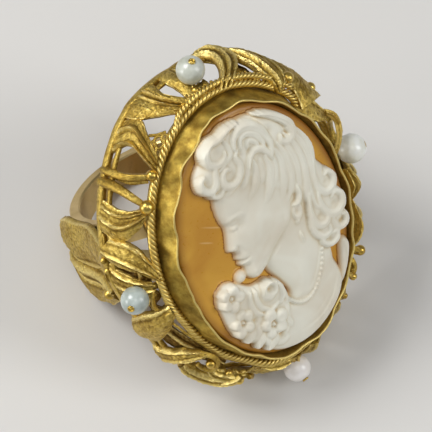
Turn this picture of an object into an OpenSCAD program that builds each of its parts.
/* [Band] */
// Inner diameter of the band, for the finger
finger_d = 17.3; // [16:0.1:19]
// Thickness of the band
band_t = 1.15; // [0.8:0.05:1.5]
// Width of the band at the back
band_w = 2.9; // [2:0.1:4]
// Width across the two arms where each shoulder forks
fork_w = 8.4; // [7:0.1:9]
// Opening between the two arms at their ends
fork_gap = 3.6; // [3:0.1:4]

/* [Head] */
// Length of the scalloped rim
rim_l = 27.2; // [24:0.2:30]
// Width of the scalloped rim
rim_w = 20.8; // [18:0.2:23]
// Height of the rim above the middle of the finger hole
rim_z = 16; // [15.5:0.1:17]
// Height of the base rail above the middle of the finger hole
rail_z = 9.2; // [9.1:0.05:9.6]
// Spread of the base rail outside the rim
rail_out = 3.7; // [3:0.1:4.5]
// Height of the rope above the middle of the finger hole
rope_z = 14; // [13.6:0.1:14.4]
// Thickness of the rope
rope_d = 1; // [0.7:0.05:1.2]
// Number of scallops along the rim
scallops = 20; // [12:1:28]
// Overall length of the gold work, or 0 for the length that the other sizes give
head_l = 0; // [0:1:42]

/* [Pearls] */
// Diameter of the pearls
pearl_d = 2.8; // [2.2:0.1:3.2]
// Distance of the middle of each pearl outside the rim
pearl_out = 3.85; // [3.4:0.05:4.4]
// Height of the pearls above the middle of the finger hole
pearl_z = 12.8; // [12.2:0.1:13.4]
// Thickness of the pegs through the pearls
peg_d = 0.5; // [0.4:0.05:0.7]

/* [Cameo] */
// Thickness of the shell at its edge
shell_t = 1.8; // [1.2:0.1:2.4]
// Greatest height of the carving above the ground
relief_h = 1.5; // [1:0.1:2]
// Gap between the cameo and the gold round it
cameo_gap = 0.08; // [0.05:0.01:0.15]
// Height of the rim over the edge of the shell
rim_over = 0.6; // [0.4:0.1:1]

/* [Hidden] */
half_l = rim_l / 2;
half_w = rim_w / 2;
finger_r = finger_d / 2;
band_r = finger_r + band_t;
gold = "goldenrod";

// Band: angle of the arms' ends above the middle, and height at which each shoulder starts to fork
arm_angle = 48;
fork_start = 0.5;

// Rods from the ends of a shoulder's arms up to the foot of the collet: their three points and radius
arm_rod = [[-6.7, 2.65, 6.6], [-7.9, 2.9, 9], [-9.6, 3.4, 13.2]];
arm_rod_r = 0.55;

// Lying on its side: turn and lift of the ring from its own frame
rest_turn = [49.61, 3.84, 0];
rest_shift = [-0.58, 7.14, 7.47];

// Collet wall: thickness, height and spread of its foot, depth of the scallops
wall_t = 0.45;
foot_z = 12.9;
foot_out = 0.95;
scallop_d = 0.22;
ledge_w = 1;
ledge_z = rim_z - rim_over - shell_t;

// Skirt of the wreath: spread outside the rim and height at the top, middle and foot of its curve
skirt_out = [1.6, 3.6, 3.8];
skirt_z = [13.9, 12.9, 9.6];
leaf_t = 0.42;

// Share of its spread by which the skirt is drawn in
// columns: angle, share
nips = [
    [0, 0.24], [12, 0.18], [18, 0.10], [27, 0.22], [40, 0.10], [54, 0],
    [186, 0], [192, 0.06], [201, 0.28], [212, 0.10], [228, 0.22], [240, 0.20],
    [249, 0.32], [258, 0.30], [266, 0.18], [276, 0], [336, 0], [348, 0.14], [360, 0.24],
];

// Leaves of the wreath: where each starts and ends, as an angle round the head from the top pearl
// and a place down the skirt from 0 at the rope to 1 at the rail
// columns: base angle, base place, tip angle, tip place, half width, side bow, crown, lift
leaves = [
    [351, 1.04, 344, 0.02, 1.35, 0.3, 0.40, 0.0],
    [338, 1.04, 340.5, 0.00, 1.60, 0.1, 0.50, 0.1],
    [325.5, 1.04, 319.5, 0.00, 1.35, 0.4, 0.50, 0.1],
    [298, 1.04, 299.5, 0.00, 1.50, -0.7, 0.60, 0.1],
    [282, 1.04, 277.5, 0.00, 2.00, 0.4, 0.60, 0.1],
    [269, 0.95, 271, 0.10, 1.40, 0.3, 0.30, 0.0],
    [254.5, 1.04, 257.5, 0.00, 1.50, -0.2, 0.60, 0.1],
    [241, 1.04, 232, 0.05, 1.70, 0.5, 0.50, 0.1],
    [229, 1.04, 207, 0.40, 1.15, 0.5, 0.50, 0.2],
    [212, 1.00, 203, 0.10, 1.40, 0.0, 0.45, 0.0],
    [199, 0.95, 182, 0.45, 0.90, 0.4, 0.40, 0.1],
    [188, 1.04, 196, 0.05, 1.30, -0.4, 0.45, 0.0],
    [180, 1.04, 180, 0.00, 1.10, 0.0, 0.35, 0.0],
    [173, 1.04, 166, 0.05, 1.40, 0.4, 0.50, 0.0],
    [158, 1.04, 150, 0.05, 1.40, 0.4, 0.45, 0.0],
    [144, 1.04, 140, 0.05, 1.40, 0.3, 0.45, 0.0],
    [128, 1.04, 124, 0.05, 1.50, 0.3, 0.55, 0.0],
    [112, 1.04, 108, 0.10, 1.60, 0.5, 0.50, 0.0],
    [97, 1.04, 103, 0.10, 1.40, -0.4, 0.45, 0.0],
    [82, 1.04, 88, 0.15, 1.40, 0.6, 0.60, 0.0],
    [66, 1.04, 73, 0.30, 1.40, 0.5, 0.50, 0.1],
    [52, 1.04, 58, 0.20, 1.50, -0.5, 0.50, 0.1],
    [37, 1.04, 45, 0.02, 1.75, 0.4, 0.50, 0.0],
    [3, 1.04, 8, 0.15, 1.30, 0.4, 0.30, 0.0],
];

// Bars and looped wires of the wreath
// columns: start angle, start place, middle angle, middle place, end angle, end place, radius
wires = [
    [311, 1.00, 313, 0.50, 315, 0.02, 0.40],
    [309, 0.95, 306, 0.50, 304, 0.02, 0.40],
    [9, 0.80, 22, 1.10, 13, 0.02, 0.40],
    [22, 0.95, 29, 0.60, 17, 0.02, 0.35],
    [48, 0.20, 62, 0.45, 76, 0.30, 0.35],
    [229, 0.10, 222, 0.40, 216, 0.60, 0.35],
    [246, 0.15, 250, 0.50, 247, 0.98, 0.35],
    [328, 0.02, 325, 0.25, 322, 0.02, 0.25],
];

wire_lift = 0.05;

// Gold balls
// columns: angle, place, lift, radius
balls = [
    [315, 0.03, 0.25, 0.60],
    [304, 0.03, 0.25, 0.70],
    [54, 0.35, 0.35, 0.62],
    [68, 0.40, 0.35, 0.62],
    [126, 0.22, 0.25, 0.60],
    [140, 0.20, 0.25, 0.55],
    [229, 0.12, 0.35, 0.62],
    [205, 0.20, 0.30, 0.65],
    [211, 0.55, 0.30, 0.50],
    [2, 0.15, 0.15, 0.50],
    [357, 0.15, 0.15, 0.45],
    [101, 0.20, 0.30, 0.55],
    [103, 0.32, 0.35, 0.50],
    [100, 0.45, 0.35, 0.50],
];

// Sandy leaves on the outside of a shoulder, on a cuff that flares from the band to the rail
// columns: start across, start height, end across, end height, half width, bow, crown, lift
cuff_leaves = [
    [0.7, -4.2, 2.0, 9.0, 2.30, 0.0, 0.40, 0.10],
    [-3.7, -5.4, -3.4, 9.0, 2.90, 0.5, 0.60, 0.05],
];
// Spread of the cuff over the band, and the flare from there to the rail with its power
cuff_out = 1;
cuff_flare = 3;
cuff_power = 1.7;
// Thickness of a sandy leaf at its start on the band and at its end on the rail
cuff_t = [1.4, 0.7];
// Ball between the leaves: place across, height, lift, radius
cuff_ball = [-3.1, 4.2, 0.5, 0.7];

// Twisted wires round the collet: the rope, and a second one along the top
// columns: first angle, last angle, outside the rim, above the rope's height, thickness, turns, steps
twists = [
    [0, 360, 1.2, 0, rope_d, 30, 120],
    [-22, 48, 2, 0.05, 0.8 * rope_d, -6, 24],
];

// Oval rails of the base: columns: outside the base rail, above it, radius
rails = [[0, 0, 0.32], [-0.25, 1.15, 0.28]];

// Pegs: lean up from the level, length inside the pearl's middle, and the cup and cap round the pearl
// cup and cap: start from the pearl's middle, height, first radius, last radius
peg_lean = 36;
peg_root = 3.3;
peg_cup = [-pearl_d / 2 - 0.5, 0.4, 0.5, 0.8];
peg_cap = [pearl_d / 2, 0.16, peg_d - 0.05, peg_d - 0.05];
pearl_gap = 0.06;
seat_gap = 0.12;
// Stay from each cup to the foot of the collet: outside the rim and height of its ends, and its radius
stay = [[2.31, 11.68], [0.7, 13.1]];
stay_r = 0.35;
pearl_angles = [0, 90, 180, 270];

// Unit vector of a direction
function unit(p) = p / norm(p);

// Value on a quadratic curve through its three control values
function curve(c, t) = (1 - t) * (1 - t) * c[0] + 2 * t * (1 - t) * c[1] + t * t * c[2];
function slope(c, t) = 2 * (1 - t) * (c[1] - c[0]) + 2 * t * (c[2] - c[1]);

// Point of an oval a given distance outside the rim, and the same drawn in where it spreads past the rope
function rim_oval(a, out, z) = [(half_w + out) * sin(a), (half_l + out) * cos(a), z];
function nip(a) = lookup((a + 720) % 360, nips);
function oval(a, out, z) = rim_oval(a, out - nip(a) * max(out - 1, 0), z);
function oval_normal(a) = unit([half_l * sin(a), half_w * cos(a), 0]);

// Point of the skirt at an angle and place, lifted off it by n
function skirt(a, v, n = 0) =
    let (so = slope(skirt_out, v), sz = slope(skirt_z, v), k = norm([so, sz]))
    oval(a, curve(skirt_out, v), curve(skirt_z, v))
    + n * (-sz / k * oval_normal(a) + [0, 0, so / k]);

// Length of one degree of the skirt, and of its whole slope
function degree_len(a) = norm([(half_w + 3) * cos(a), (half_l + 3) * sin(a)]) * PI / 180;
skirt_len = norm([skirt_out[2] - skirt_out[0], skirt_z[2] - skirt_z[0]]) + 0.4;

// Point of the left cuff at a place across and a height, lifted off it by n
function cuff(y, z, n = 0) = z < 0
    ? let (r = band_r + cuff_out + n) [-sqrt(r * r - z * z), y, z]
    : [-(band_r + cuff_out + n + cuff_flare * pow(z / rail_z, cuff_power)), y, z];

// Triangles between rings of points, with both ends closed or joined to a loop
module rings(rs, loop = false) {
    m = len(rs);
    n = len(rs[0]);
    last = loop ? m - 1 : m - 2;
    sides = [for (i = [0:last], j = [0:n - 1])
        let (a = i * n + j, b = i * n + (j + 1) % n,
             c = ((i + 1) % m) * n + (j + 1) % n, d = ((i + 1) % m) * n + j)
        each [[a, b, c], [a, c, d]]];
    ends = loop ? [] : [[for (j = [n - 1:-1:0]) j], [for (j = [0:n - 1]) (m - 1) * n + j]];
    polyhedron([for (r = rs) each r], concat(sides, ends), convexity = 6);
}

// Half width of a leaf at a place along it, as a share: widest near the base and narrow at the tip
function leaf_share(t) = 0.14 + 0.86 * (1 - pow(t, 1.7)) * (1 - 0.35 * pow(1 - t, 6));

// Section of a leaf across its line: crowned outside, flat inside
leaf_across = [-1, 0, 1];
function leaf_ring(spot, half, crown, lift, thick) = concat(
    [for (s = leaf_across) spot(s * half, lift + crown * (1 - s * s))],
    [for (s = [0.9, 0, -0.9]) spot(s * half, lift - thick + 0.5 * crown * (1 - s * s))]);

// One leaf of the wreath, from a row of its table
leaf_steps = 6;
module wreath_leaf(row) {
    da = row[2] - row[0];
    across = unit([-(row[3] - row[1]) * skirt_len, da * degree_len(row[0])]);
    rings([for (i = [0:leaf_steps])
        let (t = i / leaf_steps, bow = row[5] * sin(180 * t), share = leaf_share(t),
             a = row[0] + da * t, v = row[1] + (row[3] - row[1]) * t)
        leaf_ring(function(s, n) skirt(a + (s + bow) * across[0] / degree_len(a),
                                       v + (s + bow) * across[1] / skirt_len, n),
                  row[4] * share, row[6] * share, row[7], leaf_t)]);
}

// One sandy leaf of the left shoulder
cuff_steps = 9;
function cuff_share(t) = 0.3 + 0.7 * pow(sin(180 * (0.05 + 0.83 * t)), 0.6);
module shoulder_leaf(row) {
    across = unit([row[3] - row[1], -(row[2] - row[0])]);
    rings([for (i = [0:cuff_steps])
        let (t = i / cuff_steps, bow = row[5] * sin(180 * t), share = cuff_share(t),
             y = row[0] + (row[2] - row[0]) * t, z = row[1] + (row[3] - row[1]) * t)
        leaf_ring(function(s, n) cuff(y + (s + bow) * across[0], z + (s + bow) * across[1], n),
                  row[4] * share, row[6] * share, row[7], cuff_t[0] + (cuff_t[1] - cuff_t[0]) * t)]);
}

// Round wire through a list of points
module wire(ps, r, sides = 6, loop = false) {
    m = len(ps);
    rings([for (i = [0:m - 1])
        let (before = loop ? ps[(i + m - 1) % m] : ps[max(i - 1, 0)],
             after = loop ? ps[(i + 1) % m] : ps[min(i + 1, m - 1)],
             along = unit(after - before), side = unit(cross(along, [0.01, 0.02, 1])),
             up = cross(side, along))
        [for (j = [0:sides - 1])
            let (q = 360 * j / sides)
            ps[i] + r * (cos(q) * side + sin(q) * up)]], loop);
}

// Twisted wire: an oval section that turns along an arc round the collet, from a row of its table
twist_sides = 5;
twist_flat = 0.16;
module twisted_wire(row) {
    whole = row[1] - row[0] == 360;
    steps = row[6];
    rings([for (i = [0:whole ? steps - 1 : steps])
        let (t = i / steps, a = row[0] + (row[1] - row[0]) * t, n = oval_normal(a),
             twist = 180 * row[5] * t)
        [for (j = [0:twist_sides - 1])
            let (q = 360 * j / twist_sides,
                 r = row[4] / 2 * (1 - twist_flat * (1 - cos(2 * (q - twist)))))
            rim_oval(a, row[2], rope_z + row[3]) + r * (cos(q) * n - sin(q) * [0, 0, 1])]], whole);
}

// Collet: a wall that leans in to a scalloped rim, with a ledge for the cameo
collet_steps = 60;
module collet() {
    rings([for (i = [0:collet_steps - 1])
        let (a = 360 * i / collet_steps, wave = scallop_d * cos(scallops * a), n = oval_normal(a),
             inner = -wall_t,
             profile = [[inner - ledge_w, foot_z], [inner - ledge_w, ledge_z], [inner, ledge_z],
                        [wave + inner + 0.1, rim_z + wave / 2], [wave, rim_z + wave / 2],
                        [0.3 - wave, rim_z - 0.7], [foot_out, foot_z]])
        [for (p = profile) rim_oval(a, 0, p[1]) + p[0] * n]], true);
}

// Oval rail of the base, from a row of its table
module rail(row) wire([for (a = [0:9:351]) oval(-a, rail_out + row[0], rail_z + row[1])], row[2], 5, true);

// Peg from the wreath through a pearl, with its cup and end cap
module at_pearl(a) translate(rim_oval(a, pearl_out, pearl_z)) rotate([0, 0, -a])
    rotate([peg_lean - 90, 0, 0]) children();
module disc(row) translate([0, 0, row[0]]) cylinder(h = row[1], r1 = row[2], r2 = row[3], $fn = 8);
module peg(a) at_pearl(a) {
    translate([0, 0, -peg_root]) cylinder(h = peg_root + pearl_d / 2 + 0.1, d = peg_d, $fn = 6);
    disc(peg_cup);
    disc(peg_cap);
}
module peg_stay(a) wire([for (p = stay) rim_oval(a, p[0], p[1])], stay_r);

// Rods that carry the head on the ends of a shoulder's arms
module arm_rods() for (s = [-1, 1])
    wire([for (p = arm_rod) [p[0], s * p[1], p[2]]], arm_rod_r, 6);

// Bar or looped wire of the wreath, from a row of its table
module wreath_wire(row) wire([for (t = [0:0.25:1])
    skirt(curve([row[0], row[2], row[4]], t), curve([row[1], row[3], row[5]], t), wire_lift)], row[6], 5);

// Everything that one shoulder carries outside the band
module shoulder_work() {
    for (row = cuff_leaves) shoulder_leaf(row);
    translate(cuff(cuff_ball[0], cuff_ball[1], cuff_ball[2])) sphere(cuff_ball[3], $fn = 10);
    arm_rods();
}

// The pierced gold work of the head and shoulders
module goldwork() {
    difference() {
        union() {
            collet();
            for (row = twists) twisted_wire(row);
            for (row = rails) rail(row);
            for (row = leaves) wreath_leaf(row);
            for (row = wires) wreath_wire(row);
            for (row = balls) translate(skirt(row[0], row[1], row[2])) sphere(row[3], $fn = 7);
            shoulder_work();
            rotate([0, 0, 180]) shoulder_work();
        }
        for (a = pearl_angles) at_pearl(a) sphere(pearl_d / 2 + seat_gap, $fn = 12);
    }
    for (a = pearl_angles) {
        peg(a);
        peg_stay(a);
    }
}

// Band: a true round tube, narrow at the back, wider and forked at the shoulders
module band() {
    reach = fork_w / 2 + 1;
    arm_end = finger_r * cos(arm_angle);
    arm_rise = band_r + finger_r * sin(arm_angle);
    flare = (fork_w - band_w) / 2;
    side_r = (arm_rise * arm_rise + flare * flare) / (2 * flare);
    difference() {
        rotate([90, 0, 0]) cylinder(h = 2 * reach, r = band_r, center = true, $fn = 180);
        rotate([90, 0, 0]) cylinder(h = 3 * reach, r = finger_r, center = true, $fn = 180);
        translate([-arm_end, -2 * reach, 0]) cube([2 * arm_end, 4 * reach, 2 * band_r]);
        for (s = [-1, 1]) translate([0, s * (band_w / 2 + side_r), -band_r]) rotate([0, 90, 0])
            cylinder(h = 3 * band_r, r = side_r, center = true, $fn = 360);
        rotate([0, -90, 0]) translate([0, 0, -2 * band_r]) linear_extrude(4 * band_r)
            polygon([[fork_start, 0], [band_r, fork_gap / 2], [band_r, -fork_gap / 2]]);
    }
}

// Carving of the cameo as round-topped masses: head and hair, neck, bust, drapery and flowers
// columns: across, along, half width, half length, turn, share of the relief height
carving = [
    [3.2, 7.4, 5.6, 4.3, -25, 0.85],
    [-0.6, 9.4, 4.4, 2.7, 10, 0.92],
    [6.6, 2.6, 3.2, 5.4, 20, 0.80],
    [-4.0, 8.7, 1.7, 1.6, 0, 1.00],
    [-2.4, 10.8, 1.6, 1.4, 0, 0.92],
    [1.6, 11.4, 1.8, 1.1, 0, 0.85],
    [8.8, 1.8, 1.5, 2.0, 0, 0.85],
    [8.9, -1.4, 1.6, 1.9, 0, 0.90],
    [7.0, -3.2, 1.9, 1.6, 0, 0.85],
    [-0.7, 3.5, 4.2, 5.4, 8, 0.68],
    [-1.2, -0.6, 3.1, 3.3, 8, 0.62],
    [-5.0, 1.5, 1.0, 0.7, 8, 0.55],
    [2.6, -3.6, 2.9, 4.4, -20, 0.50],
    [1.0, -9.2, 7.0, 3.6, 12, 0.52],
    [4.6, -7.4, 3.8, 4.2, 0, 0.52],
    [8.0, -6.6, 1.1, 2.8, -12, 0.35],
    [-6.5, -4.2, 1.6, 1.3, 0, 0.88],
    [-4.3, -3.0, 0.8, 0.8, 0, 0.80],
    [-2.3, -5.6, 1.4, 1.2, 0, 0.85],
    [-6.0, -7.0, 1.7, 1.5, 0, 0.80],
    [-2.9, -8.7, 1.8, 1.6, 0, 0.85],
    [-4.4, -5.9, 1.3, 1.2, 0, 0.75],
];
dome_h = 0.3;
border = 0.94;
cameo_w = half_w - wall_t - 0.2;
cameo_l = half_l - wall_t - 0.2;
cameo_cells = [34, 44];

// Height of the carving at a place, as a share of the relief height
function mass(x, y, row) =
    let (c = cos(row[4]), s = sin(row[4]), dx = x - row[0], dy = y - row[1],
         q = pow((dx * c + dy * s) / row[2], 2) + pow((dy * c - dx * s) / row[3], 2))
    q < 1 ? row[5] * sqrt(1 - q * q) : 0;
function carved(x, y) =
    norm([x / cameo_w, y / cameo_l]) > border ? 0 : max([for (row = carving) mass(x, y, row)]);
function ground(x, y) = dome_h * (1 - pow(x / cameo_w, 2) - pow(y / cameo_l, 2));

// Shell oval with its carving: a square net of points drawn out to the oval
module cameo_shell() {
    nx = cameo_cells[0];
    ny = cameo_cells[1];
    edge = concat([for (i = [0:nx - 1]) [i, 0]], [for (j = [0:ny - 1]) [nx, j]],
                  [for (i = [nx:-1:1]) [i, ny]], [for (j = [ny:-1:1]) [0, j]]);
    function spot(i, j) = let (u = 2 * i / nx - 1, v = 2 * j / ny - 1)
        [cameo_w * u * sqrt(1 - v * v / 2), cameo_l * v * sqrt(1 - u * u / 2)];
    top = [for (j = [0:ny], i = [0:nx]) let (p = spot(i, j))
        [p[0], p[1], shell_t + ground(p[0], p[1]) + relief_h * carved(p[0], p[1])]];
    foot = [for (e = edge) let (p = spot(e[0], e[1])) [p[0], p[1], 0]];
    m = len(edge);
    function index(i, j) = j * (nx + 1) + i;
    polyhedron(concat(top, foot), concat(
        [for (j = [0:ny - 1], i = [0:nx - 1])
            let (a = index(i, j), b = index(i + 1, j), c = index(i + 1, j + 1), d = index(i, j + 1))
            each [[a, c, b], [a, d, c]]],
        [for (k = [0:m - 1])
            let (a = index(edge[k][0], edge[k][1]), n = edge[(k + 1) % m], b = index(n[0], n[1]),
                 c = len(top) + (k + 1) % m, d = len(top) + k)
            each [[a, b, c], [a, c, d]]],
        [[for (k = [0:m - 1]) len(top) + k]]), convexity = 6);
}

// Round pearl drilled for its peg
module pearl(a) at_pearl(a) difference() {
    sphere(d = pearl_d, $fn = 48);
    cylinder(h = 2 * pearl_d, d = peg_d + 2 * pearl_gap, center = true, $fn = 24);
}

// All the gold, in the ring's own frame
module gold_ring() {
    band();
    resize([0, head_l, 0]) goldwork();
}

module lying() translate(rest_shift) rotate(rest_turn) children();
module gold_mount() color(gold) lying() gold_ring();
module cameo() color("linen") lying() translate([0, 0, ledge_z + cameo_gap]) cameo_shell();
module pearl_top() color("white") lying() pearl(0);
module pearl_right() color("white") lying() pearl(90);
module pearl_bottom() color("white") lying() pearl(180);
module pearl_left() color("white") lying() pearl(270);

gold_mount();
cameo();
pearl_top();
pearl_right();
pearl_bottom();
pearl_left();
